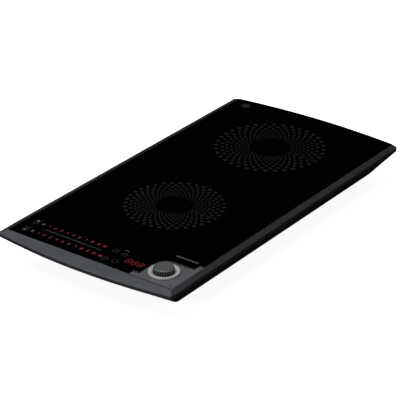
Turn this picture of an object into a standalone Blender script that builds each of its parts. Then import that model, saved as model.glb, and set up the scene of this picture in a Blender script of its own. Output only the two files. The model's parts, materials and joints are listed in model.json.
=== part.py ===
"""Portable induction cooktop with two zones in line, one rotary knob and a tapered tray.

Metres, +Z up. The cooktop stands on z = 0, centred on X and Y. The control edge faces -Y.
Every sub-part is one closed solid in its own object.
"""

from math import atan, ceil, cos, pi, radians, sin, sqrt, tan

import bmesh
import bpy
from mathutils import Matrix, Vector

MM = 0.001
GAP = 0.3 * MM

# Overall body
HALF_WIDTH = 159.5 * MM
FRONT_EDGE = -309.0 * MM
BACK_EDGE = 309.0 * MM
FRONT_BOW = 11.0 * MM
BACK_BOW = 10.2 * MM
BOW_HALF_SPAN = 150.0 * MM
OUTER_CORNER = 4.0 * MM
SHOULDER_RUN = 59.0 * MM

# Heights above the table
GLASS_TOP = 60.0 * MM
GLASS_THICKNESS = 4.0 * MM
GLASS_BOTTOM = GLASS_TOP - GLASS_THICKNESS
SEAL_THICKNESS = 0.7 * MM
LEDGE_TOP = GLASS_BOTTOM - 2 * GAP - SEAL_THICKNESS
LEDGE_BOTTOM = 53.0 * MM
RIM_TOP = 58.0 * MM
FRONT_DROP = 0.6 * MM
RIM_RADIUS = 1.0 * MM
LIP_BOTTOM = 51.4 * MM
TRAY_TOP = LEDGE_BOTTOM - GAP
TRAY_STEP = LIP_BOTTOM - GAP
TRAY_BOTTOM = 10.0 * MM
TRAY_FLOOR = 12.0 * MM

# Glass field and its opening in the frame
FIELD_HALF_WIDTH = 149.95 * MM
FIELD_FRONT = -284.4 * MM
FIELD_BACK = 307.7 * MM
FIELD_CORNER = 2.0 * MM
LEDGE_WIDTH = 9.0 * MM
LIP_THICKNESS = 2.0 * MM
BACK_RIM_WIDTH = 0.6 * MM

# Tray: its bottom outline; its top outline follows the frame
TRAY_BOTTOM_HALF_WIDTH = 125.0 * MM
TRAY_BOTTOM_BACK = 275.9 * MM
TRAY_BOTTOM_FRONT = -241.0 * MM
TRAY_CORNER = 6.0 * MM
TRAY_STEP_INSET = 0.3 * MM
TRAY_RIM_INSET = 2.5 * MM
TRAY_RIM_LOW = 50.0 * MM
WALL = 2.4 * MM

# Knob and its plate, let into the front right corner of the glass a little below its surface
PLATE_TOP = 59.2 * MM
KNOB_X = 111.5 * MM
KNOB_Y = -251.1 * MM
KNOB_RADIUS = 15.6 * MM
KNOB_TOP = 69.3 * MM
FLUTE_COUNT = 28
FLUTE_DEPTH = 0.9 * MM
RING_INNER = 16.3 * MM
RING_OUTER = 22.7 * MM
RING_OUTSIDE_HEIGHT = 3.1 * MM
RING_INSIDE_HEIGHT = 1.7 * MM
PLATE_LEFT = 84.0 * MM
PLATE_EAR_LEFT = 73.0 * MM
PLATE_EAR_BACK = -272.9 * MM
PLATE_BACK = -219.7 * MM
PLATE_HORN_LEFT = 140.5 * MM
PLATE_HORN_BACK = -207.1 * MM
PLATE_ROUND = 27.5 * MM
SHAFT_RADIUS = 3.0 * MM
SHAFT_FLAT = 1.6 * MM
BUSHING_RADIUS = 3.5 * MM
SHAFT_PLAY = 0.08 * MM

# Cooking zones: name, centre and outer radius of the winding
ZONE_X = -1.2 * MM
ZONES = (
    ("front", -78.0 * MM, 70.0 * MM),
    ("rear", 172.8 * MM, 83.0 * MM),
)
WINDING_INNER = 20.0 * MM
WINDING_TURNS = 6
WINDING_STEPS = 20
WINDING_BOTTOM = 50.8 * MM
WINDING_HEIGHT = 4.0 * MM
CARRIER_BOTTOM = 48.5 * MM
CARRIER_THICKNESS = 2.0 * MM
CARRIER_RIM = 5.0 * MM
MICA_THICKNESS = 0.6 * MM
FERRITE_COUNT = 4

# Electronics
CONTROL_BOARD_BOTTOM = 45.0 * MM
POWER_BOARD_BOTTOM = 17.0 * MM
BOARD_THICKNESS = 1.6 * MM
POWER_BOARD_LOW = (-10 * MM, -60 * MM)
POWER_BOARD_HIGH = (108 * MM, 100 * MM)
FAN_X = -66.0 * MM
FANS = (("front", -20.0 * MM), ("rear", 75.0 * MM))
FAN_HALF = 35.0 * MM
FAN_HEIGHT = 15.0 * MM
FAN_BORE = 32.5 * MM
FAN_BLADES = 7

# Feet, screws and cord outlet
FOOT_X = 95.0 * MM
FOOT_YS = (("front", -198.0 * MM), ("rear", 232.0 * MM))
FOOT_RADIUS = 12.0 * MM
SCREW_X = 146.0 * MM
SCREW_YS = (-200 * MM, 20 * MM, 240 * MM)
SCREW_HOLE = 1.6 * MM
SCREW_HEAD_TOP = 49.2 * MM
SCREW_POCKET = 3.0 * MM
SCREW_HOLE_TOP = 54.3 * MM
CORD_X = 80.0 * MM
CORD_Z = 26.0 * MM
CORD_BORE = 3.6 * MM
CORD_OUT = 298.0 * MM

COLOURS = {
    "glass_black": ((0.004, 0.004, 0.005), 0.06, 0.0),
    "frame_grey": ((0.075, 0.082, 0.090), 0.45, 0.0),
    "plate_grey": ((0.092, 0.098, 0.104), 0.42, 0.0),
    "satin_silver": ((0.55, 0.56, 0.58), 0.32, 1.0),
    "dark_chrome": ((0.16, 0.16, 0.17), 0.28, 1.0),
    "tray_black": ((0.018, 0.018, 0.020), 0.60, 0.0),
    "rubber": ((0.020, 0.020, 0.020), 0.85, 0.0),
    "silicone": ((0.12, 0.12, 0.12), 0.70, 0.0),
    "steel": ((0.56, 0.56, 0.57), 0.35, 1.0),
    "copper": ((0.62, 0.27, 0.14), 0.40, 1.0),
    "mica": ((0.62, 0.58, 0.48), 0.60, 0.0),
    "ferrite": ((0.05, 0.05, 0.055), 0.65, 0.0),
    "board_green": ((0.02, 0.16, 0.07), 0.50, 0.0),
    "component_black": ((0.03, 0.03, 0.032), 0.45, 0.0),
    "carrier": ((0.30, 0.29, 0.27), 0.60, 0.0),
    "aluminium": ((0.62, 0.63, 0.64), 0.40, 1.0),
    "white_plastic": ((0.70, 0.70, 0.68), 0.50, 0.0),
    "cap_yellow": ((0.62, 0.42, 0.07), 0.45, 0.0),
    "ribbon": ((0.45, 0.45, 0.46), 0.55, 0.0),
    "lead": ((0.50, 0.04, 0.03), 0.60, 0.0),
}


def clear_scene():
    for item in list(bpy.data.objects):
        bpy.data.objects.remove(item, do_unlink=True)


def material(name):
    found = bpy.data.materials.get(name)
    if found:
        return found
    colour, roughness, metallic = COLOURS[name]
    made = bpy.data.materials.new(name)
    made.use_nodes = True
    shader = made.node_tree.nodes["Principled BSDF"]
    shader.inputs["Base Color"].default_value = (*colour, 1.0)
    shader.inputs["Roughness"].default_value = roughness
    shader.inputs["Metallic"].default_value = metallic
    made.diffuse_color = (*colour, 1.0)
    return made


def finish_mesh(name, bm, finish, origin=(0.0, 0.0, 0.0)):
    """Turns a bmesh in world coordinates into an object whose origin lies at the given point."""
    bmesh.ops.recalc_face_normals(bm, faces=bm.faces)
    bmesh.ops.translate(bm, vec=-Vector(origin), verts=bm.verts)
    mesh = bpy.data.meshes.new(name)
    bm.to_mesh(mesh)
    bm.free()
    mesh.shade_smooth()
    mesh.set_sharp_from_angle(angle=radians(30))
    made = bpy.data.objects.new(name, mesh)
    made.location = origin
    bpy.context.scene.collection.objects.link(made)
    if finish:
        mesh.materials.append(material(finish))
    return made


def add_rings(bm, rings, wrap=False):
    """Joins rings of equal length with quads: closed round by wrap, or capped at both ends."""
    loops = [[bm.verts.new(point) for point in ring] for ring in rings]
    pairs = list(zip(loops, loops[1:]))
    if wrap:
        pairs.append((loops[-1], loops[0]))
    else:
        bm.faces.new(loops[0][::-1])
        bm.faces.new(loops[-1])
    for first, second in pairs:
        for i in range(len(first)):
            j = (i + 1) % len(first)
            bm.faces.new((first[i], first[j], second[j], second[i]))


def add_box(bm, low, high):
    corners = [(low[0], low[1]), (high[0], low[1]), (high[0], high[1]), (low[0], high[1])]
    add_rings(bm, [[(x, y, z) for x, y in corners] for z in (low[2], high[2])])


def circle(x, y, z, radius, count):
    points = []
    for i in range(count):
        angle = 2 * pi * i / count
        points.append((x + radius * cos(angle), y + radius * sin(angle), z))
    return points


def add_turned(bm, x, y, profile, count, wrap=False):
    """Turns (radius, height) pairs about a vertical axis."""
    add_rings(bm, [circle(x, y, z, radius, count) for radius, z in profile], wrap)


def turned(name, x, y, profile, count, finish, wrap=False, origin=None):
    bm = bmesh.new()
    add_turned(bm, x, y, profile, count, wrap)
    return finish_mesh(name, bm, finish, origin or (x, y, profile[0][1]))


def lofted(name, rings, finish, wrap=False, origin=(0.0, 0.0, 0.0)):
    bm = bmesh.new()
    add_rings(bm, rings, wrap)
    return finish_mesh(name, bm, finish, origin)


def block(name, low, high, finish, bevel=0.0):
    """A box with bevelled edges."""
    bm = bmesh.new()
    add_box(bm, low, high)
    if bevel:
        bmesh.ops.bevel(bm, geom=bm.edges[:], offset=bevel, segments=1, affect="EDGES")
    centre = [(a + b) / 2 for a, b in zip(low, high)]
    return finish_mesh(name, bm, finish, centre)


def combine(target, operation, bm):
    """Adds or takes away the closed shapes in bm with one exact Boolean."""
    tool = finish_mesh(target.name + "_" + operation.lower() + "_tool", bm, None)
    tool.hide_render = True
    tool.display_type = "WIRE"
    step = target.modifiers.new(operation.title(), "BOOLEAN")
    step.operation = operation
    step.solver = "EXACT"
    step.object = tool


def rounded_polygon(corners, inset=0.0, steps=4):
    """Outline from (x, y, radius) corners, counterclockwise, moved inwards by inset."""
    points = []
    for i, (x, y, radius) in enumerate(corners):
        before = Vector(corners[i - 1][:2])
        after = Vector(corners[(i + 1) % len(corners)][:2])
        here = Vector((x, y))
        coming = (here - before).normalized()
        going = (after - here).normalized()
        normal_in = Vector((-coming.y, coming.x))
        normal_out = Vector((-going.y, going.x))
        corner = here + (normal_in + normal_out) * inset / (1 + normal_in.dot(normal_out))
        turn = coming.cross(going)
        side = 1.0 if turn > 0 else -1.0
        if radius == 0.0:
            points.append(tuple(corner))
            continue
        angle = coming.angle(going)
        radius = max(radius - side * inset, 0.05 * MM)
        start = corner - coming * radius * tan(angle / 2)
        centre = start + side * radius * Vector((-coming.y, coming.x))
        count = max(2, ceil(steps * angle / (pi / 2)))
        for k in range(count + 1):
            spun = Matrix.Rotation(side * angle * k / count, 2) @ (start - centre)
            points.append(tuple(centre + spun))
    return points


def bowed_outline(z, half_width, front, back, front_bow, back_bow, corner):
    """Outline with bowed front and back edges and round corners, the same count of points for any size."""
    edge_points = 9
    corner_points = 5
    points = []
    for sign, apex, bow in ((-1, front, front_bow), (1, back, back_bow)):
        slope = atan(2 * bow * (half_width - corner) / BOW_HALF_SPAN**2)
        centre_x = half_width - corner
        tangent_x = centre_x + corner * sin(slope)
        centre_y = apex - sign * bow * (tangent_x / BOW_HALF_SPAN) ** 2 - sign * corner * cos(slope)
        arc = []
        for k in range(corner_points):
            angle = -sign * (pi / 2 - slope) * (1 - k / (corner_points - 1))
            arc.append((centre_x + corner * cos(angle), centre_y - corner * sin(angle)))
        edge = []
        for k in range(1, edge_points + 1):
            x = tangent_x * (1 - 2 * k / (edge_points + 1))
            edge.append((x, apex - sign * bow * (x / BOW_HALF_SPAN) ** 2))
        mirrored_arc = [(-x, y) for x, y in arc]
        if sign < 0:
            points += mirrored_arc[::-1] + edge[::-1] + arc + [(half_width, front + SHOULDER_RUN)]
        else:
            points += arc[::-1] + edge + mirrored_arc + [(-half_width, front + SHOULDER_RUN)]
    return [(x, y, z) for x, y in points]


def frame_outline(z, inset, back_inset=None):
    """The frame's outer outline, moved inwards."""
    if back_inset is None:
        back_inset = inset
    front = FRONT_EDGE + inset
    back = BACK_EDGE - back_inset
    corner = max(OUTER_CORNER - inset, 0.5 * MM)
    return bowed_outline(z, HALF_WIDTH - inset, front, back, FRONT_BOW, BACK_BOW, corner)


def rim_outline(z, inset, back_inset):
    """The frame's outer outline, which dips from the shoulders to the front edge."""
    points = []
    for x, y, height in frame_outline(z, inset, back_inset):
        from_shoulder = FRONT_EDGE + SHOULDER_RUN - y
        dip = min(1.0, max(0.0, from_shoulder / (SHOULDER_RUN - FRONT_BOW)))
        points.append((x, y, height - FRONT_DROP * dip))
    return points


def field_outline(z, inset):
    """The opening that holds the glass and the knob plate, moved inwards."""
    half_width = FIELD_HALF_WIDTH - inset
    return bowed_outline(z, half_width, FIELD_FRONT + inset, FIELD_BACK - inset, 0.0, BACK_BOW, FIELD_CORNER)


def tray_outline(z, inset):
    """The tray's tapered wall at a height, moved inwards."""
    rise = (z - TRAY_BOTTOM) / (TRAY_STEP - TRAY_BOTTOM)
    half_width = TRAY_BOTTOM_HALF_WIDTH - inset
    front = TRAY_BOTTOM_FRONT + inset
    back = TRAY_BOTTOM_BACK - inset
    bottom = bowed_outline(z, half_width, front, back, 0.0, 0.0, TRAY_CORNER - inset)
    top = frame_outline(z, TRAY_STEP_INSET + inset)
    return [Vector(low).lerp(high, rise) for low, high in zip(bottom, top)]


def screw_places():
    return [(side * SCREW_X, y) for side in (-1, 1) for y in SCREW_YS]


def make_frame():
    round_half = RIM_RADIUS * sqrt(0.5)
    rim_low = RIM_TOP - RIM_RADIUS
    rings = [
        field_outline(GLASS_TOP - 0.1 * MM, -GAP / 2),
        rim_outline(RIM_TOP, RIM_RADIUS, BACK_RIM_WIDTH),
        rim_outline(rim_low + round_half, RIM_RADIUS - round_half, BACK_RIM_WIDTH / 3),
        rim_outline(rim_low, 0.0, 0.0),
        frame_outline(LIP_BOTTOM + 0.4 * MM, 0.0),
        frame_outline(LIP_BOTTOM, 0.4 * MM),
        frame_outline(LIP_BOTTOM, LIP_THICKNESS),
        frame_outline(LEDGE_BOTTOM, LIP_THICKNESS),
        field_outline(LEDGE_BOTTOM, LEDGE_WIDTH),
        field_outline(LEDGE_TOP, LEDGE_WIDTH),
        field_outline(LEDGE_TOP, -GAP / 2),
    ]
    frame = lofted("top_frame", rings, "frame_grey", wrap=True)
    holes = bmesh.new()
    for x, y in screw_places():
        add_turned(holes, x, y, ((SCREW_HOLE, LEDGE_BOTTOM - 1 * MM), (SCREW_HOLE, SCREW_HOLE_TOP)), 12)
    combine(frame, "DIFFERENCE", holes)


def knob_plate_corners():
    return [
        (PLATE_EAR_LEFT, FIELD_FRONT, 0.5 * MM),
        (FIELD_HALF_WIDTH, FIELD_FRONT, FIELD_CORNER),
        (FIELD_HALF_WIDTH, PLATE_HORN_BACK, 0.5 * MM),
        (PLATE_HORN_LEFT, PLATE_HORN_BACK, 3 * MM),
        (PLATE_HORN_LEFT, PLATE_BACK, 3 * MM),
        (PLATE_LEFT, PLATE_BACK, PLATE_ROUND),
        (PLATE_LEFT, PLATE_EAR_BACK, 2 * MM),
        (PLATE_EAR_LEFT, PLATE_EAR_BACK, 3 * MM),
    ]


def glass_corners():
    plate = knob_plate_corners()
    back = []
    edge_points = 10
    for k in range(edge_points + 1):
        x = FIELD_HALF_WIDTH * (1 - 2 * k / edge_points)
        y = FIELD_BACK - BACK_BOW * (x / BOW_HALF_SPAN) ** 2
        back.append((x, y, FIELD_CORNER if k in (0, edge_points) else 0.0))
    notch = [plate[0], plate[7], plate[6], plate[5], plate[4], plate[3], plate[2]]
    return [(-FIELD_HALF_WIDTH, FIELD_FRONT, FIELD_CORNER)] + notch + back


def flat_plate(name, corners, top, finish, edge):
    """A plate that fills part of the frame's opening, with its top edge eased."""
    outline = rounded_polygon(corners, GAP / 2)
    eased = rounded_polygon(corners, GAP / 2 + edge)
    rings = [
        [(x, y, GLASS_BOTTOM) for x, y in outline],
        [(x, y, top - edge) for x, y in outline],
        [(x, y, top) for x, y in eased],
    ]
    return lofted(name, rings, finish)


def make_top():
    flat_plate("top_glass", glass_corners(), GLASS_TOP, "glass_black", 0.3 * MM)
    plate = flat_plate("knob_plate", knob_plate_corners(), PLATE_TOP, "plate_grey", 0.4 * MM)
    hole = bmesh.new()
    reach = 1 * MM
    radius = BUSHING_RADIUS + 0.4 * MM
    add_turned(hole, KNOB_X, KNOB_Y, ((radius, GLASS_BOTTOM - reach), (radius, GLASS_TOP + reach)), 24)
    combine(plate, "DIFFERENCE", hole)
    low = LEDGE_TOP + GAP
    high = low + SEAL_THICKNESS
    rings = [
        field_outline(low, 0.7 * MM),
        field_outline(low, LEDGE_WIDTH - 0.7 * MM),
        field_outline(high, LEDGE_WIDTH - 0.7 * MM),
        field_outline(high, 0.7 * MM),
    ]
    lofted("glass_seal", rings, "silicone", wrap=True)


def d_shaft(z, growth, count=24):
    """Circle with one flat side, about the knob's axis."""
    points = []
    for x, y, _ in circle(0.0, 0.0, 0.0, SHAFT_RADIUS + growth, count):
        points.append((KNOB_X + min(x, SHAFT_FLAT + growth), KNOB_Y + y, z))
    return points


def fluted(z, radius, depth):
    """Circle with narrow notches: two crest points and one valley point for each flute."""
    points = []
    for i in range(FLUTE_COUNT):
        for phase, drop in ((0.18, 0.0), (0.50, depth), (0.82, 0.0)):
            angle = 2 * pi * (i + phase) / FLUTE_COUNT
            reach = radius - drop
            points.append((KNOB_X + reach * cos(angle), KNOB_Y + reach * sin(angle), z))
    return points


def make_knob():
    ring_low = PLATE_TOP + GAP
    ring_high = ring_low + RING_OUTSIDE_HEIGHT
    profile = (
        (RING_INNER, ring_low),
        (RING_OUTER, ring_low),
        (RING_OUTER, ring_high - 0.4 * MM),
        (RING_OUTER - 0.5 * MM, ring_high),
        (RING_INNER, ring_low + RING_INSIDE_HEIGHT),
    )
    turned("knob_ring", KNOB_X, KNOB_Y, profile, 40, "satin_silver", wrap=True)

    axis = (KNOB_X, KNOB_Y, GLASS_TOP)
    skirt = PLATE_TOP + 0.8 * MM
    rings = [
        fluted(skirt, KNOB_RADIUS, FLUTE_DEPTH),
        fluted(KNOB_TOP - 1.3 * MM, KNOB_RADIUS, FLUTE_DEPTH),
        fluted(KNOB_TOP - 0.3 * MM, KNOB_RADIUS - 1.1 * MM, 0.0),
        fluted(KNOB_TOP, KNOB_RADIUS - 1.6 * MM, 0.0),
    ]
    knob = lofted("knob", rings, "dark_chrome", origin=axis)
    inside = bmesh.new()
    boss = 5.2 * MM
    ceiling = KNOB_TOP - 3 * MM
    boss_end = 62.9 * MM
    hollow = [
        circle(KNOB_X, KNOB_Y, skirt - 1 * MM, KNOB_RADIUS - 3 * MM, 24),
        circle(KNOB_X, KNOB_Y, ceiling, KNOB_RADIUS - 3 * MM, 24),
        circle(KNOB_X, KNOB_Y, ceiling, boss, 24),
        circle(KNOB_X, KNOB_Y, boss_end, boss, 24),
        d_shaft(boss_end, GAP),
        d_shaft(KNOB_TOP - 1.6 * MM, GAP),
    ]
    add_rings(inside, hollow)
    combine(knob, "DIFFERENCE", inside)

    shaft_low = 50.8 * MM
    shaft = [
        circle(KNOB_X, KNOB_Y, shaft_low, SHAFT_RADIUS, 24),
        circle(KNOB_X, KNOB_Y, 61.6 * MM, SHAFT_RADIUS, 24),
        d_shaft(62.0 * MM, 0.0),
        d_shaft(KNOB_TOP - 2 * MM, 0.0),
    ]
    lofted("encoder_shaft", shaft, "aluminium", origin=axis)

    make_encoder(shaft_low)


def square_ring(x, y, z, half_x, half_y, count):
    """Points on a rectangle, at the same angles as a circle's points where its corners allow."""
    points = []
    for i in range(count):
        along = Vector((cos(2 * pi * i / count), sin(2 * pi * i / count)))
        along /= max(abs(along.x), abs(along.y))
        points.append((x + half_x * along.x, y + half_y * along.y, z))
    return points


def make_encoder(shaft_low):
    low = CONTROL_BOARD_BOTTOM + BOARD_THICKNESS + GAP
    shoulder = low + 6.5 * MM
    bushing_top = 61.2 * MM
    bore = SHAFT_RADIUS + SHAFT_PLAY
    rings = [
        square_ring(KNOB_X, KNOB_Y, low, 6.5 * MM, 6 * MM, 24),
        square_ring(KNOB_X, KNOB_Y, shoulder, 6.5 * MM, 6 * MM, 24),
        circle(KNOB_X, KNOB_Y, shoulder, BUSHING_RADIUS, 24),
        circle(KNOB_X, KNOB_Y, bushing_top, BUSHING_RADIUS, 24),
        circle(KNOB_X, KNOB_Y, bushing_top, bore, 24),
        circle(KNOB_X, KNOB_Y, shaft_low - GAP, bore, 24),
    ]
    lofted("encoder_body", rings, "steel", origin=(KNOB_X, KNOB_Y, low))
    nut_low = PLATE_TOP + GAP
    nut_high = nut_low + 1.8 * MM
    hexagon = []
    for i in range(24):
        angle = 2 * pi * i / 24
        reach = 5 * MM / cos((angle + pi / 6) % (pi / 3) - pi / 6)
        hexagon.append((KNOB_X + reach * cos(angle), KNOB_Y + reach * sin(angle)))
    nut_bore = BUSHING_RADIUS + GAP
    rings = [
        circle(KNOB_X, KNOB_Y, nut_low, nut_bore, 24),
        [(x, y, nut_low) for x, y in hexagon],
        [(x, y, nut_high) for x, y in hexagon],
        circle(KNOB_X, KNOB_Y, nut_high, nut_bore, 24),
    ]
    lofted("encoder_nut", rings, "steel", wrap=True, origin=(KNOB_X, KNOB_Y, nut_low))


def carrier_posts():
    """Places of the posts that hold up the coil carriers."""
    places = []
    for _, y, radius in ZONES:
        for angle in (105, 225, 345):
            reach = radius - 4 * MM
            places.append((ZONE_X + reach * cos(radians(angle)), y + reach * sin(radians(angle))))
    return places


def power_board_posts():
    edge = 5 * MM
    xs = (POWER_BOARD_LOW[0] + edge, POWER_BOARD_HIGH[0] - edge)
    ys = (POWER_BOARD_LOW[1] + edge, POWER_BOARD_HIGH[1] - edge)
    return [(x, y) for x in xs for y in ys]


def control_board_posts():
    return [(side * 98 * MM, -220 * MM) for side in (-1, 1)]


def add_screw_boss(bm, x, y):
    """A wedge against the inside of the tray's side wall, wide enough for a screw pocket."""
    side = 1 if x > 0 else -1
    half = 6 * MM
    inner = 140 * MM
    rings = []
    for outer, z in ((142.3 * MM, 32 * MM), (157 * MM, 49.7 * MM), (156 * MM, TRAY_TOP - 0.5 * MM)):
        plan = ((inner, -half), (outer, -half), (outer, half), (inner, half))
        rings.append([(side * reach, y + along, z) for reach, along in plan])
    add_rings(bm, rings)


def add_cord_tube(bm, radius, near, far, count):
    """A cylinder along Y through the cord outlet."""
    rings = []
    for y in (near, far):
        flat = circle(0.0, 0.0, 0.0, radius, count)
        rings.append([(CORD_X + x, y, CORD_Z + z) for x, z, _ in flat])
    add_rings(bm, rings)


def make_tray():
    rings = [
        tray_outline(TRAY_FLOOR, WALL),
        frame_outline(TRAY_RIM_LOW, TRAY_RIM_INSET + 2 * MM),
        frame_outline(TRAY_TOP, TRAY_RIM_INSET + 2 * MM),
        frame_outline(TRAY_TOP, TRAY_RIM_INSET),
        frame_outline(TRAY_STEP, TRAY_RIM_INSET),
        frame_outline(TRAY_STEP, TRAY_STEP_INSET),
        tray_outline(TRAY_BOTTOM + 0.5 * MM, 0.0),
        tray_outline(TRAY_BOTTOM, 0.5 * MM),
    ]
    tray = lofted("bottom_housing", rings, "tray_black")

    posts = bmesh.new()
    root = TRAY_BOTTOM + 1 * MM
    for places, radius, top in (
        (carrier_posts(), 4 * MM, CARRIER_BOTTOM - GAP),
        (power_board_posts(), 3 * MM, POWER_BOARD_BOTTOM - GAP),
        (control_board_posts(), 4 * MM, CONTROL_BOARD_BOTTOM - GAP),
    ):
        for x, y in places:
            add_turned(posts, x, y, ((radius, root), (radius, top)), 8)
    for x, y in screw_places():
        add_screw_boss(posts, x, y)
    add_cord_tube(posts, 12 * MM, 268 * MM, CORD_OUT, 24)
    combine(tray, "UNION", posts)

    cuts = bmesh.new()
    add_cord_tube(cuts, 8.3 * MM, 260 * MM, CORD_OUT + 3 * MM, 24)
    for side in (-1, 1):
        for group_start in (-150 * MM, 70 * MM):
            for k in range(14):
                y = group_start + 8 * MM * k
                reach = sorted((side * 118 * MM, side * 165 * MM))
                add_box(cuts, (reach[0], y, 20 * MM), (reach[1], y + 3.5 * MM, 44 * MM))
        for _, y in FOOT_YS:
            add_turned(cuts, side * FOOT_X, y, ((3.8 * MM, 8 * MM), (3.8 * MM, 14 * MM)), 12)
    for x, y in screw_places():
        pocket = (
            (SCREW_POCKET, 29 * MM),
            (SCREW_POCKET, SCREW_HEAD_TOP),
            (SCREW_HOLE, SCREW_HEAD_TOP),
            (SCREW_HOLE, SCREW_HOLE_TOP),
        )
        add_turned(cuts, x, y, pocket, 12)
    for _, centre in FANS:
        for k in range(-3, 4):
            offset = 8 * MM * k
            reach = sqrt((29 * MM) ** 2 - offset**2)
            low = (FAN_X - reach, centre + offset - 1.6 * MM, 8 * MM)
            high = (FAN_X + reach, centre + offset + 1.6 * MM, 14 * MM)
            add_box(cuts, low, high)
    combine(tray, "DIFFERENCE", cuts)


def make_feet_and_screws():
    stem = 3.5 * MM
    profile = (
        (FOOT_RADIUS - 1.2 * MM, 0.0),
        (FOOT_RADIUS, 1.2 * MM),
        (FOOT_RADIUS, TRAY_BOTTOM - GAP - 0.8 * MM),
        (FOOT_RADIUS - 0.8 * MM, TRAY_BOTTOM - GAP),
        (stem, TRAY_BOTTOM - GAP),
        (stem, 14 * MM),
    )
    for end, y in FOOT_YS:
        for side, x in (("left", -FOOT_X), ("right", FOOT_X)):
            turned("foot_" + end + "_" + side, x, y, profile, 20, "rubber")
    head = 2.6 * MM
    shank = 1.4 * MM
    drive = 1.2 * MM
    head_top = SCREW_HEAD_TOP - GAP
    head_low = head_top - 1.5 * MM
    profile = (
        (drive, head_low + 0.8 * MM),
        (drive, head_low),
        (head - 0.3 * MM, head_low),
        (head, head_low + 0.3 * MM),
        (head, head_top),
        (shank, head_top),
        (shank, SCREW_HOLE_TOP - 0.7 * MM),
        (shank / 2, SCREW_HOLE_TOP - GAP),
    )
    for number, (x, y) in enumerate(screw_places(), 1):
        turned("housing_screw_" + str(number), x, y, profile, 8, "steel")


def make_cord_gland():
    rings = []
    for radius, y in (
        (CORD_BORE, 266 * MM),
        (8 * MM, 266 * MM),
        (8 * MM, CORD_OUT + GAP),
        (11 * MM, CORD_OUT + GAP),
        (11 * MM, CORD_OUT + 2.2 * MM),
        (10 * MM, CORD_OUT + 3.2 * MM),
        (CORD_BORE + 0.6 * MM, CORD_OUT + 3.2 * MM),
        (CORD_BORE, CORD_OUT + 2.6 * MM),
    ):
        flat = circle(0.0, 0.0, 0.0, radius, 24)
        rings.append([(CORD_X + x, y, CORD_Z + z) for x, z, _ in flat])
    lofted("cord_gland", rings, "component_black", wrap=True, origin=(CORD_X, CORD_OUT, CORD_Z))


def make_winding(name, y, outer):
    """One flat spiral strand, wound from the inside out."""
    steps = WINDING_STEPS * WINDING_TURNS
    pitch = (outer - WINDING_INNER) / WINDING_TURNS
    half = pitch * 0.42
    rings = []
    for i in range(steps + 1):
        angle = 2 * pi * i / WINDING_STEPS
        middle = WINDING_INNER + half + (outer - WINDING_INNER - 2 * half) * i / steps
        ring = []
        for side, height in ((-half, 0.0), (half, 0.0), (half, WINDING_HEIGHT), (-half, WINDING_HEIGHT)):
            reach = middle + side
            ring.append((ZONE_X + reach * cos(angle), y + reach * sin(angle), WINDING_BOTTOM + height))
        rings.append(ring)
    lofted(name, rings, "copper", origin=(ZONE_X, y, WINDING_BOTTOM))


def make_ferrites(zone, y, outer):
    high = CARRIER_BOTTOM - GAP
    low = high - 4.5 * MM
    for k in range(FERRITE_COUNT):
        angle = radians(45 + 90 * k)
        bm = bmesh.new()
        add_box(bm, (16 * MM, -6 * MM, low), (outer - 8 * MM, 6 * MM, high))
        bmesh.ops.bevel(bm, geom=bm.edges[:], offset=0.6 * MM, segments=1, affect="EDGES")
        bmesh.ops.rotate(bm, cent=(0, 0, 0), matrix=Matrix.Rotation(angle, 3, "Z"), verts=bm.verts)
        bmesh.ops.translate(bm, vec=(ZONE_X, y, 0), verts=bm.verts)
        finish_mesh("ferrite_bar_" + zone + "_" + str(k + 1), bm, "ferrite", (ZONE_X, y, low))


def make_zones():
    floor = CARRIER_BOTTOM + CARRIER_THICKNESS
    for zone, y, outer in ZONES:
        rim = outer + 2 * MM
        carrier = (
            (5 * MM, CARRIER_BOTTOM),
            (rim + 2 * MM, CARRIER_BOTTOM),
            (rim + 2 * MM, CARRIER_BOTTOM + CARRIER_RIM),
            (rim, CARRIER_BOTTOM + CARRIER_RIM),
            (rim, floor),
            (5 * MM, floor),
        )
        turned("coil_carrier_" + zone, ZONE_X, y, carrier, 28, "carrier", wrap=True)
        make_winding("coil_winding_" + zone, y, outer)
        mica_low = WINDING_BOTTOM + WINDING_HEIGHT + GAP
        mica_high = mica_low + MICA_THICKNESS
        mica = ((9 * MM, mica_low), (outer, mica_low), (outer, mica_high), (9 * MM, mica_high))
        turned("mica_sheet_" + zone, ZONE_X, y, mica, 24, "mica", wrap=True)
        sensor = (
            (4.4 * MM, CARRIER_BOTTOM - 3 * MM),
            (4.4 * MM, floor + GAP),
            (8 * MM, floor + GAP),
            (8 * MM, GLASS_BOTTOM - 1 * MM),
            (7.2 * MM, GLASS_BOTTOM - GAP),
        )
        turned("pan_sensor_" + zone, ZONE_X, y, sensor, 20, "white_plastic")
        make_ferrites(zone, y, outer)


def make_lead(name, route):
    """A round lead along a smooth curve through the route's points."""
    curve = bpy.data.curves.new(name, "CURVE")
    curve.dimensions = "3D"
    curve.bevel_depth = 1.6 * MM
    curve.bevel_resolution = 1
    curve.use_fill_caps = True
    points = smooth_route(route, 5)
    spline = curve.splines.new("POLY")
    spline.points.add(len(points) - 1)
    for place, point in zip(spline.points, points):
        place.co = (*point, 1.0)
    made = bpy.data.objects.new(name, curve)
    bpy.context.scene.collection.objects.link(made)
    curve.materials.append(material("lead"))


def smooth_route(route, steps):
    """Catmull-Rom points between the given ones."""
    knots = [Vector(point) for point in route]
    knots = [2 * knots[0] - knots[1]] + knots + [2 * knots[-1] - knots[-2]]
    points = []
    for a, b, c, d in zip(knots, knots[1:], knots[2:], knots[3:]):
        for k in range(steps):
            t = k / steps
            square = (2 * a - 5 * b + 4 * c - d) * t**2
            cube = (3 * b - a - 3 * c + d) * t**3
            points.append(0.5 * (2 * b + (c - a) * t + square + cube))
    points.append(knots[-2])
    return points


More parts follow.
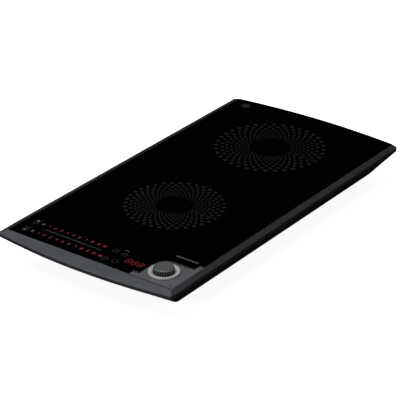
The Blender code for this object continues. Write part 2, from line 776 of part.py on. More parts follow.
def make_leads():
    routes = {
        "front": ((44, -44, 46.3), (50, -46, 42), (57, -50, 34), (58, -56, 26), (57, -57, 21)),
        "rear": ((30, 98, 46.3), (36, 98, 42), (50, 96, 34), (56, 96, 26), (57, 95, 21)),
    }
    for zone, route in routes.items():
        make_lead("coil_leads_" + zone, [[value * MM for value in point] for point in route])


def make_fan(zone, y):
    low = TRAY_FLOOR + 0.6 * MM
    high = low + FAN_HEIGHT
    rings = [
        square_ring(FAN_X, y, low, FAN_HALF, FAN_HALF, 32),
        square_ring(FAN_X, y, high, FAN_HALF, FAN_HALF, 32),
        circle(FAN_X, y, high, FAN_BORE, 32),
        circle(FAN_X, y, low, FAN_BORE, 32),
    ]
    housing = lofted("fan_housing_" + zone, rings, "component_black", wrap=True, origin=(FAN_X, y, low))
    motor_top = high - 0.4 * MM
    motor_low = high - 3 * MM
    struts = bmesh.new()
    for k in range(3):
        bar = bmesh.new()
        inner_end = (10 * MM, -1.5 * MM, motor_low + 0.2 * MM)
        outer_end = (FAN_BORE + 1.5 * MM, 1.5 * MM, motor_top - 0.2 * MM)
        add_box(bar, inner_end, outer_end)
        turn = Matrix.Rotation(radians(30 + 120 * k), 3, "Z")
        bmesh.ops.rotate(bar, cent=(0, 0, 0), matrix=turn, verts=bar.verts)
        bmesh.ops.translate(bar, vec=(FAN_X, y, 0), verts=bar.verts)
        piece = bpy.data.meshes.new("strut")
        bar.to_mesh(piece)
        bar.free()
        struts.from_mesh(piece)
        bpy.data.meshes.remove(piece)
    combine(housing, "UNION", struts)
    motor = bmesh.new()
    add_turned(motor, FAN_X, y, ((14 * MM, motor_low), (14 * MM, motor_top)), 24)
    combine(housing, "UNION", motor)
    pin_hole = bmesh.new()
    pin = 1.5 * MM
    hole = pin + SHAFT_PLAY
    add_turned(pin_hole, FAN_X, y, ((hole, motor_low - 1 * MM), (hole, motor_top + 1 * MM)), 16)
    combine(housing, "DIFFERENCE", pin_hole)

    hub_low = low + 1.2 * MM
    hub_high = motor_low - 0.6 * MM
    hub = 13.5 * MM
    profile = (
        (hub - 1 * MM, hub_low),
        (hub, hub_low + 1 * MM),
        (hub, hub_high),
        (pin, hub_high),
        (pin, motor_top - 0.5 * MM),
    )
    rotor = turned("fan_rotor_" + zone, FAN_X, y, profile, 24, "component_black", origin=(FAN_X, y, hub_low))
    blades = bmesh.new()
    middle = (hub_low + hub_high) / 2
    for k in range(FAN_BLADES):
        blade = bmesh.new()
        add_box(blade, (hub - 1.5 * MM, -6 * MM, -0.6 * MM), (FAN_BORE - 1.5 * MM, 6 * MM, 0.6 * MM))
        pitch = Matrix.Rotation(radians(38), 3, "X")
        spin = Matrix.Rotation(2 * pi * k / FAN_BLADES, 3, "Z")
        bmesh.ops.rotate(blade, cent=(0, 0, 0), matrix=spin @ pitch, verts=blade.verts)
        bmesh.ops.translate(blade, vec=(FAN_X, y, middle), verts=blade.verts)
        piece = bpy.data.meshes.new("blade")
        blade.to_mesh(piece)
        blade.free()
        blades.from_mesh(piece)
        bpy.data.meshes.remove(piece)
    combine(rotor, "UNION", blades)


def make_heatsink(name, low_x, low_y, size_x, size_y, low_z, high_z):
    """Extruded comb: a base with upright fins running along X."""
    fins = 7
    base = 3.5 * MM
    fin = 1.6 * MM
    pitch = (size_y - fin) / (fins - 1)
    comb = [(0.0, 0.0), (size_y, 0.0)]
    for k in reversed(range(fins)):
        start = pitch * k
        comb += [(start + fin, base), (start + fin, high_z - low_z), (start, high_z - low_z), (start, base)]
    del comb[2]
    del comb[-1]
    rings = [[(low_x + reach, low_y + y, low_z + z) for y, z in comb] for reach in (0.0, size_x)]
    lofted(name, rings, "aluminium", origin=(low_x, low_y, low_z))


def make_power_board():
    low = POWER_BOARD_BOTTOM
    top = low + BOARD_THICKNESS
    block("power_board", (*POWER_BOARD_LOW, low), (*POWER_BOARD_HIGH, top), "board_green")
    seat = top + GAP
    sink_top = 41 * MM
    make_heatsink("heatsink_front", 2 * MM, -50 * MM, 48 * MM, 50 * MM, seat, sink_top)
    make_heatsink("heatsink_rear", 2 * MM, 8 * MM, 48 * MM, 50 * MM, seat, sink_top)
    boxes = (
        ("igbt_front", (50.3, -36, 21), (55, -20, 41), "component_black"),
        ("igbt_rear", (50.3, 12, 21), (55, 28, 41), "component_black"),
        ("bridge_rectifier", (50.3, 33, 21), (54.5, 56, 39), "component_black"),
        ("filter_capacitor", (62, -4, 18.9), (104, 13, 38), "cap_yellow"),
        ("resonance_capacitor_front", (62, 19, 18.9), (104, 34, 37), "cap_yellow"),
        ("resonance_capacitor_rear", (62, 40, 18.9), (104, 55, 37), "cap_yellow"),
        ("mains_terminal", (70, 76, 18.9), (98, 90, 33), "white_plastic"),
    )
    for name, low_corner, high_corner, finish in boxes:
        low_corner = [value * MM for value in low_corner]
        high_corner = [value * MM for value in high_corner]
        block(name, low_corner, high_corner, finish, bevel=0.8 * MM)
    make_choke(82 * MM, -32 * MM, seat)


def make_choke(x, y, seat):
    major = 13.5 * MM
    minor = 6 * MM
    profile = []
    for k in range(8):
        angle = 2 * pi * k / 8
        profile.append((major + minor * cos(angle), seat + minor + minor * sin(angle)))
    turned("filter_choke", x, y, profile, 18, "copper", wrap=True, origin=(x, y, seat))


def make_control_board():
    low = CONTROL_BOARD_BOTTOM
    top = low + BOARD_THICKNESS
    block("control_board", (-134 * MM, -270.6 * MM, low), (134 * MM, -215.6 * MM, top), "board_green")
    seat = top + GAP
    lens_top = GLASS_BOTTOM - GAP
    display_low = (44.5 * MM, -263.1 * MM, seat)
    display_high = (80.5 * MM, -246.6 * MM, lens_top)
    block("display_module", display_low, display_high, "component_black", bevel=0.5 * MM)
    guide_low = (-134 * MM, -270.1 * MM, seat)
    guide_high = (41 * MM, -236.6 * MM, lens_top)
    guide = block("key_light_guide", guide_low, guide_high, "white_plastic")
    wells = bmesh.new()
    rows = (-266.6 * MM, -253.1 * MM, -241.1 * MM)
    columns = 5
    pitch = 34.5 * MM
    for row in rows:
        for k in range(columns):
            left = -132 * MM + pitch * k
            low_corner = (left, row - 2.5 * MM, seat - 1 * MM)
            high_corner = (left + pitch - 2 * MM, row + 2.5 * MM, lens_top + 1 * MM)
            add_box(wells, low_corner, high_corner)
    combine(guide, "DIFFERENCE", wells)
    make_ribbon(low, POWER_BOARD_BOTTOM + BOARD_THICKNESS)


def make_ribbon(high, low):
    """Flat cable hanging from the control board's underside down to the power board."""
    route = (
        (-216 * MM, high - 0.9 * MM),
        (-206 * MM, high - 1.2 * MM),
        (-170 * MM, high - 12 * MM),
        (-120 * MM, low + 8 * MM),
        (-80 * MM, low + 3 * MM),
        (-54 * MM, low + 1.0 * MM),
    )
    path = smooth_route([(0.0, y, z) for y, z in route], 3)
    half = 0.5 * MM
    left = 28 * MM
    right = 48 * MM
    rings = []
    for point in path:
        y = point.y
        low_z = point.z - half
        high_z = point.z + half
        rings.append([(left, y, low_z), (right, y, low_z), (right, y, high_z), (left, y, high_z)])
    lofted("ribbon_cable", rings, "ribbon", origin=((left + right) / 2, route[0][0], high))


def main():
    clear_scene()
    make_frame()
    make_top()
    make_knob()
    make_tray()
    make_feet_and_screws()
    make_cord_gland()
    make_zones()
    make_leads()
    for zone, y in FANS:
        make_fan(zone, y)
    make_power_board()
    make_control_board()


main()
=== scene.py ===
"""Looks of the portable induction cooktop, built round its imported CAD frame.

Metres, +Z up, in the frame of the CAD model. Fine pieces replace the CAD solids whose curves show,
the prints and lit figures lie on the glass, and every other node gets a procedural material.
"""

import json
from math import atan, cos, pi, radians, sin, sqrt, tan

import bmesh
import bpy
from mathutils import Matrix, Vector


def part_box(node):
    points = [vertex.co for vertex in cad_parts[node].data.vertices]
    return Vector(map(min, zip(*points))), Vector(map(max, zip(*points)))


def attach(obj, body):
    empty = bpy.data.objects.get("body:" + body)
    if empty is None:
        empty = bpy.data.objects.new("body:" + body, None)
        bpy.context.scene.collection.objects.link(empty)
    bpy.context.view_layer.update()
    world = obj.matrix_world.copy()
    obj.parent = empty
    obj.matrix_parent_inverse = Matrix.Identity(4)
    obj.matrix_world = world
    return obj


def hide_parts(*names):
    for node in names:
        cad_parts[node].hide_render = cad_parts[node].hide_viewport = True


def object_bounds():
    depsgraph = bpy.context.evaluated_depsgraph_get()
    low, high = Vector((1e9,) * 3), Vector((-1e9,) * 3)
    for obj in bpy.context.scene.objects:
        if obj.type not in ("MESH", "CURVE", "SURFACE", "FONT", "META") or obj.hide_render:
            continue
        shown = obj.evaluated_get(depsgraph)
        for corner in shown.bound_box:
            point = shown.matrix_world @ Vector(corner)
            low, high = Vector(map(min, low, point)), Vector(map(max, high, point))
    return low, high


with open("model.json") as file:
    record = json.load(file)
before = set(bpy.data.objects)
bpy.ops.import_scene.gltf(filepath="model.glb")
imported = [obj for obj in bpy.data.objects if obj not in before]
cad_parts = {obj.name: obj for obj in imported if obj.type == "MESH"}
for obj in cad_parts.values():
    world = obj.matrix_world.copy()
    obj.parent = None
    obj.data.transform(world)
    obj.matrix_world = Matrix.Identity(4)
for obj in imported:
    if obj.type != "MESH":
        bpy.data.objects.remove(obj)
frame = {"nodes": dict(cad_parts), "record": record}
cad_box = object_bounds()

MM = 0.001
GAP = 0.3 * MM
PRINT_HEIGHT = 0.05 * MM
LEVEL_NORMAL = 0.9999
STROKE_CORNER_LIMIT = 0.4

# Camera
CAMERA_AZIMUTH = radians(36.489)
CAMERA_ELEVATION = radians(27.011)
CAMERA_TARGET = (0.01974, -0.04184, 0.060)
CAMERA_DISTANCE = 2.971
CAMERA_LENS = 177.72

# Soft boxes: name, place, aim, width and height, power in watts
LIGHTS = (
    ("overhead", (-0.35, -0.55, 1.9), (0.0, 0.0, 0.05), (1.9, 1.5), 46.0),
    ("front_fill", (-0.5, -2.3, 0.75), (0.0, -0.2, 0.05), (1.2, 0.6), 9.0),
    ("right_fill", (2.2, 0.3, 0.75), (0.0, 0.0, 0.05), (1.0, 0.5), 6.5),
    ("back_fill", (0.9, 1.9, 1.9), (0.0, 0.0, 0.05), (1.0, 0.6), 5.0),
)
FLOOR_GLOW = 0.9
WORLD_COLOUR = (0.004, 0.004, 0.0045, 1.0)

# The frame's bow and corners, as in the CAD
FRONT_BOW = 11.0 * MM
BACK_BOW = 10.2 * MM
BOW_HALF_SPAN = 150.0 * MM
OUTER_CORNER = 4.0 * MM
SHOULDER_RUN = 59.0 * MM
FRONT_DROP = 0.6 * MM
RIM_RADIUS = 1.0 * MM
RIM_BELOW_GLASS = 2.0 * MM
BACK_RIM_WIDTH = 0.6 * MM
LIP_THICKNESS = 2.0 * MM
LEDGE_BOTTOM_DEPTH = 7.0 * MM
LEDGE_TOP_DEPTH = 5.3 * MM
LEDGE_WIDTH = 9.0 * MM
FIELD_CORNER = 2.0 * MM

# Front strip: the share of its depth that the seam beside the plate takes, and the slope of its
# mitres, past which the side strips take their painted shade
SEAM_SHARE = 0.045
MITRE_SLOPE = 0.6

# The notch of the glass and the plate in it, from the field's front right corner
PLATE_ROUND = 27.5 * MM
PLATE_EAR_RUN = 11.0 * MM
PLATE_EAR_DEPTH = 11.5 * MM
PLATE_HORN_WIDTH = 9.45 * MM
PLATE_HORN_DEPTH = 12.6 * MM

# Knob and ring
FLUTE_COUNT = 28
FLUTE_DEPTH = 1.25 * MM
POINTS_PER_FLUTE = 8
KNOB_SHOULDER = 2.4 * MM
KNOB_CROWN = 1.4 * MM
KNOB_DRAFT = 0.15 * MM
KNOB_WALL = 3.0 * MM
KNOB_BORE = 3.3 * MM
KNOB_BOSS = 5.2 * MM
KNOB_BOSS_RISE = 2.4 * MM
RING_FOOT_HEIGHT = 0.25 * MM
RING_INSIDE_HEIGHT = 1.7 * MM

# Zone prints: how far they reach past the mica, and their rings as shares of the outer radius
ZONE_PRINT_GROWTH = {"front": 7.7 * MM, "rear": 6.4 * MM}
ZONE_RINGS = (0.955, 0.85, 0.765, 0.685, 0.61, 0.545, 0.49, 0.435, 0.385)
ZONE_LINE = (0.42, 0.97)
ZONE_DOTS = 36
DOT_SHARE = 0.26

# Key row: places from the light guide's corners
UPPER_ROW_INSET = 4.8 * MM
LOWER_ROW_INSET = 3.5 * MM
ZONE_KEY_INSET = 3.4 * MM
PLUS_KEY_INSET = 16.1 * MM
FIGURE_INSET = 26.8 * MM
FIGURE_PITCH = 11.6 * MM
UPPER_KEYS = 10
LOWER_KEYS = 11
DIM_KEYS = 7
HIGHEST_FIGURE = 9
SCALE_TICKS = 28
SCALE_PITCH = 3.95 * MM
SCALE_LEFT_END = 2
SCALE_RIGHT_END = 7

# Touch keys, the arc above them and the display figures, from the display's centre
TIMER_PLACE = (-44.8 * MM, 12.7 * MM)
PADLOCK_PLACE = (-27.1 * MM, 10.7 * MM)
PAUSE_PLACE = (-43.6 * MM, -13.7 * MM)
POWER_PLACE = (-26.0 * MM, -11.7 * MM)
ARC_PLACE = (-30.2 * MM, 18.4 * MM)
DISPLAY_PITCH = 10.8 * MM

# Bar and plate marks from the knob's axis, and the corner glyph from the glass's far left corner
BAR_PLACE = (5.2 * MM, 48.6 * MM)
BAR_HALF = 19.5 * MM
PLATE_MARK_Y = -24.8 * MM
MINUS_X = -17.5 * MM
PLUS_X = 30.5 * MM
GLYPH_INSET = (25.5 * MM, 27.2 * MM)


def middle(node):
    """The centre of a node's box."""
    low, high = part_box(node)
    return (low + high) / 2


# ---------------------------------------------------------------- camera, floor and lights


def make_camera():
    level = cos(CAMERA_ELEVATION)
    back = Vector((sin(CAMERA_AZIMUTH) * level, -cos(CAMERA_AZIMUTH) * level, sin(CAMERA_ELEVATION)))
    data = bpy.data.cameras.new("camera")
    data.sensor_width = 36.0
    data.lens = CAMERA_LENS
    data.clip_start = 0.1
    data.clip_end = 60.0
    camera = bpy.data.objects.new("camera", data)
    camera.location = Vector(CAMERA_TARGET) + back * CAMERA_DISTANCE
    camera.rotation_mode = "QUATERNION"
    camera.rotation_quaternion = (-back).to_track_quat("-Z", "Y")
    bpy.context.scene.collection.objects.link(camera)
    bpy.context.scene.camera = camera


def make_area_light(name, place, target, size, power):
    data = bpy.data.lights.new(name, "AREA")
    data.shape = "RECTANGLE"
    data.size, data.size_y = size
    data.energy = power
    light = bpy.data.objects.new(name, data)
    light.location = place
    aim = Vector(target) - Vector(place)
    light.rotation_mode = "QUATERNION"
    light.rotation_quaternion = aim.to_track_quat("-Z", "Y")
    bpy.context.scene.collection.objects.link(light)


def make_stage():
    """The floor, the world and the lights."""
    bm = bmesh.new()
    bmesh.ops.create_grid(bm, x_segments=4, y_segments=4, size=12.0)
    mesh = bpy.data.meshes.new("floor")
    bm.to_mesh(mesh)
    bm.free()
    floor = bpy.data.objects.new("floor", mesh)
    floor.location.z = cad_box[0].z - 0.05 * MM
    floor.visible_glossy = False
    bpy.context.scene.collection.objects.link(floor)
    pale = bpy.data.materials.new("pale_floor")
    pale.use_nodes = True
    shader = pale.node_tree.nodes["Principled BSDF"]
    shader.inputs["Base Color"].default_value = (0.8, 0.8, 0.8, 1.0)
    shader.inputs["Roughness"].default_value = 0.9
    shader.inputs["Specular IOR Level"].default_value = 0.0
    shader.inputs["Emission Color"].default_value = (1.0, 1.0, 1.0, 1.0)
    shader.inputs["Emission Strength"].default_value = FLOOR_GLOW
    mesh.materials.append(pale)

    world = bpy.data.worlds.new("studio")
    world.use_nodes = True
    world.node_tree.nodes["Background"].inputs["Color"].default_value = WORLD_COLOUR
    bpy.context.scene.world = world
    bpy.context.scene.view_settings.view_transform = "Standard"

    for light in LIGHTS:
        make_area_light(*light)


# ---------------------------------------------------------------- materials


def new_material(name, roughness, metallic, specular):
    made = bpy.data.materials.new(name)
    made.use_nodes = True
    shader = made.node_tree.nodes["Principled BSDF"]
    shader.inputs["Roughness"].default_value = roughness
    shader.inputs["Metallic"].default_value = metallic
    shader.inputs["Specular IOR Level"].default_value = specular
    return made, shader


def place_texture(tree, centre=(0.0, 0.0, 0.0), stretch=(1.0, 1.0, 1.0)):
    """Object coordinates about a centre, scaled along each axis."""
    coordinates = tree.nodes.new("ShaderNodeTexCoord")
    shift = tree.nodes.new("ShaderNodeMapping")
    shift.inputs["Location"].default_value = [-c * s for c, s in zip(centre, stretch)]
    shift.inputs["Scale"].default_value = stretch
    tree.links.new(coordinates.outputs["Object"], shift.inputs["Vector"])
    return shift.outputs["Vector"]


def noise(tree, place, scale, detail=3.0):
    texture = tree.nodes.new("ShaderNodeTexNoise")
    texture.inputs["Scale"].default_value = scale
    texture.inputs["Detail"].default_value = detail
    tree.links.new(place, texture.inputs["Vector"])
    return texture.outputs["Fac"]


def pattern_texture(tree, kind, place, scale):
    """The pattern that a material's second colour and relief follow."""
    if kind == "grain":
        return noise(tree, place, scale)
    waves = kind in ("rings", "bands")
    if waves:
        texture = tree.nodes.new("ShaderNodeTexWave")
        texture.wave_type = kind.upper()
        texture.rings_direction = "Z"
        texture.inputs["Scale"].default_value = scale
        texture.inputs["Distortion"].default_value = 0.6
        texture.inputs["Detail"].default_value = 2.0
        texture.inputs["Detail Scale"].default_value = 1.5
    else:
        texture = tree.nodes.new("ShaderNodeTexVoronoi")
        texture.inputs["Scale"].default_value = scale
    tree.links.new(place, texture.inputs["Vector"])
    return texture.outputs["Fac" if waves else "Distance"]


def blend_colours(tree, factor, first, second, low, high):
    ramp = tree.nodes.new("ShaderNodeValToRGB")
    ramp.color_ramp.elements[0].position = low
    ramp.color_ramp.elements[0].color = (*first, 1.0)
    ramp.color_ramp.elements[1].position = high
    ramp.color_ramp.elements[1].color = (*second, 1.0)
    tree.links.new(factor, ramp.inputs["Fac"])
    return ramp.outputs["Color"]


def spread(tree, factor, low, high):
    """Maps a texture's middle range to low..high."""
    span = tree.nodes.new("ShaderNodeMapRange")
    for key, value in (("From Min", 0.3), ("From Max", 0.7), ("To Min", low), ("To Max", high)):
        span.inputs[key].default_value = value
    tree.links.new(factor, span.inputs["Value"])
    return span.outputs["Result"]


def surface(
    name,
    colour,
    second,
    roughness,
    metallic=0.0,
    specular=0.5,
    kind="grain",
    scale=900.0,
    relief=0.15,
    depth=0.05 * MM,
    stretch=(1.0, 1.0, 1.0),
    centre=(0.0, 0.0, 0.0),
    edges=(0.35, 0.65),
    rough_spread=0.08,
):
    """A material with a patterned colour, a cloudy roughness and a fine relief."""
    made, shader = new_material(name, roughness, metallic, specular)
    tree = made.node_tree
    place = place_texture(tree, centre, stretch)
    pattern = pattern_texture(tree, kind, place, scale)
    tree.links.new(blend_colours(tree, pattern, colour, second, *edges), shader.inputs["Base Color"])
    cloud = noise(tree, place_texture(tree), 24.0, 4.0)
    rough = spread(tree, cloud, roughness - rough_spread, roughness + rough_spread)
    tree.links.new(rough, shader.inputs["Roughness"])
    bump = tree.nodes.new("ShaderNodeBump")
    bump.inputs["Strength"].default_value = relief
    bump.inputs["Distance"].default_value = depth
    tree.links.new(pattern, bump.inputs["Height"])
    tree.links.new(bump.outputs["Normal"], shader.inputs["Normal"])
    return made


def glowing(name, colour):
    """Light that shines through a tinted print in the glass."""
    made, shader = new_material(name, 0.35, 0.0, 0.3)
    tree = made.node_tree
    cloud = noise(tree, place_texture(tree), 400.0, 2.0)
    dark = (0.010, 0.001, 0.002)
    light = (0.030, 0.003, 0.005)
    tree.links.new(blend_colours(tree, cloud, dark, light, 0.35, 0.65), shader.inputs["Base Color"])
    shader.inputs["Emission Color"].default_value = (*colour, 1.0)
    shader.inputs["Emission Strength"].default_value = 1.0
    return made


def make_materials():
    """All finishes by name."""
    knob = middle("knob")
    axis = (knob.x, knob.y, 0.0)
    paint = {"scale": 420.0, "relief": 0.06, "rough_spread": 0.05}
    finishes = {}

    def coat(name, colour, second, roughness, **options):
        finishes[name] = surface(name, colour, second, roughness, **options)

    coat(
        "glass_black", (0.00004, 0.00004, 0.00004), (0.0001, 0.0001, 0.0001), 0.05,
        scale=40.0, relief=0.01, depth=0.02 * MM, rough_spread=0.02,
    )
    coat(
        "frame_grey", (0.044, 0.048, 0.0565), (0.0555, 0.0595, 0.0685), 0.46, specular=0.35,
        stretch=(0.12, 1.0, 1.0), **paint,
    )
    # frame_side_shade is a darker copy of frame_grey for the side and back strips: painted shade for
    # how light falls on them
    coat(
        "frame_side_shade", (0.0162, 0.0168, 0.0185), (0.021, 0.0217, 0.0235), 0.46, specular=0.35,
        stretch=(1.0, 0.12, 1.0), **paint,
    )
    coat(
        "frame_lip", (0.0122, 0.0131, 0.0152), (0.0168, 0.0178, 0.0205), 0.5, specular=0.3,
        stretch=(0.2, 0.2, 1.0), **paint,
    )
    # lip_side_shade is a darker copy of frame_lip for the lip's faces towards the sides: painted shade
    coat(
        "lip_side_shade", (0.0048, 0.0050, 0.0058), (0.0070, 0.0073, 0.0082), 0.55, specular=0.2,
        stretch=(0.2, 0.2, 1.0), **paint,
    )
    coat(
        "plate_grey", (0.072, 0.0735, 0.081), (0.082, 0.0835, 0.091), 0.44, specular=0.35,
        stretch=(0.12, 1.0, 1.0), **paint,
    )
    # plate_edge_shade is near black: painted shade along the plate's rounded edge, on the frame's seam
    # beside the plate and in the line at the plate's front
    coat(
        "plate_edge_shade", (0.010, 0.0105, 0.012), (0.014, 0.0145, 0.016), 0.5, specular=0.2,
        scale=420.0, relief=0.06,
    )
    coat(
        "satin_silver", (0.33, 0.33, 0.332), (0.42, 0.42, 0.422), 0.46, metallic=0.12,
        kind="rings", scale=700.0, relief=0.12, depth=0.04 * MM, centre=axis,
    )
    # ring_wall_shade is near black: painted shade on the ring's foot and its inner edge by the knob
    coat(
        "ring_wall_shade", (0.004, 0.0045, 0.005), (0.007, 0.0075, 0.008), 0.6, specular=0.15,
        scale=800.0, relief=0.1,
    )
    coat(
        "dark_chrome", (0.070, 0.070, 0.071), (0.095, 0.095, 0.096), 0.46, metallic=0.25,
        kind="rings", scale=900.0, relief=0.10, depth=0.03 * MM, centre=axis,
    )
    # knob_side_shade is a darker copy of dark_chrome for the knob's side: painted shade
    coat(
        "knob_side_shade", (0.048, 0.048, 0.049), (0.066, 0.066, 0.067), 0.40, metallic=0.25,
        scale=900.0, relief=0.05,
    )
    # knob_notch_shade is near black: painted shade in the flutes' notches and the hollow below
    coat(
        "knob_notch_shade", (0.001, 0.001, 0.001), (0.002, 0.002, 0.002), 0.7, specular=0.08,
        scale=900.0, relief=0.05,
    )
    coat(
        "tray_black", (0.0016, 0.0016, 0.0019), (0.0028, 0.0028, 0.0032), 0.65, specular=0.1,
        scale=1300.0, relief=0.35, depth=0.06 * MM,
    )
    coat(
        "rubber", (0.010, 0.010, 0.010), (0.016, 0.016, 0.016), 0.85, specular=0.2,
        scale=1600.0, relief=0.4, depth=0.05 * MM,
    )
    coat(
        "silicone", (0.10, 0.10, 0.10), (0.13, 0.13, 0.13), 0.65, scale=600.0,
    )
    coat(
        "steel", (0.48, 0.48, 0.49), (0.60, 0.60, 0.61), 0.33, metallic=1.0,
        scale=500.0, stretch=(1.0, 1.0, 0.1), relief=0.1,
    )
    coat(
        "copper", (0.50, 0.20, 0.10), (0.70, 0.33, 0.18), 0.38, metallic=1.0,
        kind="cells", scale=900.0, relief=0.6, depth=0.3 * MM, stretch=(1.0, 1.0, 0.6),
        edges=(0.1, 0.7),
    )
    coat(
        "mica", (0.50, 0.46, 0.36), (0.68, 0.64, 0.54), 0.5, kind="cells", scale=300.0,
        relief=0.2, edges=(0.1, 0.8),
    )
    coat(
        "ferrite", (0.030, 0.030, 0.034), (0.060, 0.060, 0.064), 0.6, scale=1500.0, relief=0.4,
    )
    coat(
        "board_green", (0.010, 0.11, 0.045), (0.020, 0.19, 0.085), 0.4, kind="bands",
        scale=160.0, relief=0.25, depth=0.1 * MM, edges=(0.45, 0.55),
    )
    coat(
        "component_black", (0.016, 0.016, 0.017), (0.026, 0.026, 0.028), 0.5, scale=1100.0,
        relief=0.3, specular=0.35,
    )
    coat(
        "carrier", (0.25, 0.24, 0.22), (0.33, 0.32, 0.30), 0.6, scale=500.0, relief=0.3,
    )
    coat(
        "aluminium", (0.55, 0.56, 0.57), (0.68, 0.69, 0.70), 0.36, metallic=1.0,
        scale=500.0, stretch=(0.06, 1.0, 1.0), relief=0.2,
    )
    coat(
        "white_plastic", (0.62, 0.62, 0.60), (0.72, 0.72, 0.70), 0.45, scale=700.0,
    )
    coat(
        "cap_yellow", (0.52, 0.34, 0.05), (0.66, 0.46, 0.09), 0.4, scale=300.0,
    )
    coat(
        "ribbon", (0.28, 0.28, 0.29), (0.52, 0.52, 0.53), 0.5, kind="bands", scale=250.0,
        relief=0.5, depth=0.2 * MM, edges=(0.3, 0.7),
    )
    coat(
        "lead", (0.40, 0.030, 0.022), (0.52, 0.045, 0.035), 0.55, scale=400.0, relief=0.2,
    )
    inks = {
        "print_dots": (0.0098, 0.0098, 0.0098),
        "print_icon": (0.024, 0.024, 0.025),
        "print_scale": (0.060, 0.058, 0.056),
        "print_green": (0.014, 0.050, 0.032),
        "print_bar": (0.058, 0.058, 0.061),
        "print_light": (0.12, 0.12, 0.125),
    }
    for name, ink in inks.items():
        worn = [0.82 * value for value in ink]
        coat(name, worn, ink, 0.4, specular=0.15, scale=700.0)
    glows = {
        "lit_dim": (0.16, 0.033, 0.040),
        "lit_bright": (0.25, 0.020, 0.034),
        "lit_display": (0.15, 0.011, 0.017),
    }
    for name, glow in glows.items():
        finishes[name] = glowing(name, glow)
    return finishes


# ---------------------------------------------------------------- mesh helpers


def finish_mesh(name, bm, body, finishes, smooth_angle=35):
    """Turns a bmesh into a piece that rides on a body."""
    bmesh.ops.recalc_face_normals(bm, faces=bm.faces)
    mesh = bpy.data.meshes.new(name)
    bm.to_mesh(mesh)
    bm.free()
    mesh.shade_smooth()
    mesh.set_sharp_from_angle(angle=radians(smooth_angle))
    for face in mesh.polygons:
        if abs(face.normal.z) > LEVEL_NORMAL:
            face.use_smooth = False
    for finish in finishes:
        mesh.materials.append(finish)
    piece = bpy.data.objects.new(name, mesh)
    bpy.context.scene.collection.objects.link(piece)
    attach(piece, body)
    return piece


def add_rings(bm, rings, wrap=False, finish_of=None):
    """Joins rings of equal length with quads: closed round by wrap, or capped at both ends."""
    loops = [[bm.verts.new(point) for point in ring] for ring in rings]
    pairs = list(zip(loops, loops[1:]))
    if wrap:
        pairs.append((loops[-1], loops[0]))
    else:
        bm.faces.new(loops[0][::-1])
        bm.faces.new(loops[-1])
    for number, (first, second) in enumerate(pairs):
        for i in range(len(first)):
            j = (i + 1) % len(first)
            face = bm.faces.new((first[i], first[j], second[j], second[i]))
            if finish_of:
                face.material_index = finish_of(number, face)


def circle(x, y, z, radius, count):
    angles = [2 * pi * i / count for i in range(count)]
    return [(x + radius * cos(angle), y + radius * sin(angle), z) for angle in angles]


def add_prism(bm, outline, low):
    """A thin printed shape with a flat outline."""
    add_rings(bm, [[(x, y, z) for x, y in outline] for z in (low, low + PRINT_HEIGHT)])


def add_dot(bm, x, y, radius, low, count=10):
    """A printed round dot."""
    add_prism(bm, [point[:2] for point in circle(x, y, low, radius, count)], low)


def add_stroke(bm, points, width, low, closed=False):
    """A printed line of even width along (x, y) points."""
    points = [Vector(point) for point in points]
    count = len(points)
    half = width / 2
    offsets = []
    for i, point in enumerate(points):
        before = points[i - 1] if i or closed else None
        after = points[(i + 1) % count] if i + 1 < count or closed else None
        coming = (point - before).normalized() if before is not None else (after - point).normalized()
        going = (after - point).normalized() if after is not None else coming
        side = Vector((-coming.y - going.y, coming.x + going.x))
        side *= 2 / max(side.length_squared, STROKE_CORNER_LIMIT)
        offsets.append(side * half)
    left = [point + side for point, side in zip(points, offsets)]
    right = [point - side for point, side in zip(points, offsets)]
    rings = []
    for a, b in zip(left, right):
        corners = ((b, low), (a, low), (a, low + PRINT_HEIGHT), (b, low + PRINT_HEIGHT))
        rings.append([(corner.x, corner.y, z) for corner, z in corners])
    add_rings(bm, rings, wrap=closed)


def add_loop(bm, points, width, low):
    """A printed line that closes on itself."""
    add_stroke(bm, points, width, low, closed=True)


def box_points(x, y, half_x, half_y):
    return [(x + a * half_x, y + b * half_y) for a, b in ((-1, -1), (1, -1), (1, 1), (-1, 1))]


def arc_points(x, y, radius, start, end, count):
    """Points along an arc, from one angle in degrees to another."""
    points = []
    for k in range(count + 1):
        angle = radians(start + (end - start) * k / count)
        points.append((x + radius * cos(angle), y + radius * sin(angle)))
    return points


# ---------------------------------------------------------------- frame, glass and plate


def bowed_outline(z, half_width, front, back, front_bow, back_bow, corner):
    """Outline with bowed front and back edges and round corners, of the same count for any size."""
    edge_points = 31
    corner_points = 9
    side_steps = 6
    points = []
    for sign, apex, bow in ((-1, front, front_bow), (1, back, back_bow)):
        slope = atan(2 * bow * (half_width - corner) / BOW_HALF_SPAN**2)
        centre_x = half_width - corner
        tangent_x = centre_x + corner * sin(slope)
        centre_y = apex - sign * bow * (tangent_x / BOW_HALF_SPAN) ** 2 - sign * corner * cos(slope)
        arc = []
        for k in range(corner_points):
            angle = -sign * (pi / 2 - slope) * (1 - k / (corner_points - 1))
            arc.append((centre_x + corner * cos(angle), centre_y - corner * sin(angle)))
        edge = []
        for k in range(1, edge_points + 1):
            x = tangent_x * (1 - 2 * k / (edge_points + 1))
            edge.append((x, apex - sign * bow * (x / BOW_HALF_SPAN) ** 2))
        mirrored_arc = [(-x, y) for x, y in arc]
        if sign < 0:
            run = front + SHOULDER_RUN - centre_y
            side_ys = [centre_y + run * k / side_steps for k in range(1, side_steps + 1)]
            points += mirrored_arc[::-1] + edge[::-1] + arc + [(half_width, y) for y in side_ys]
        else:
            points += arc[::-1] + edge + mirrored_arc
    points += [(-half_width, y) for y in reversed(side_ys)]
    return [(x, y, z) for x, y in points]


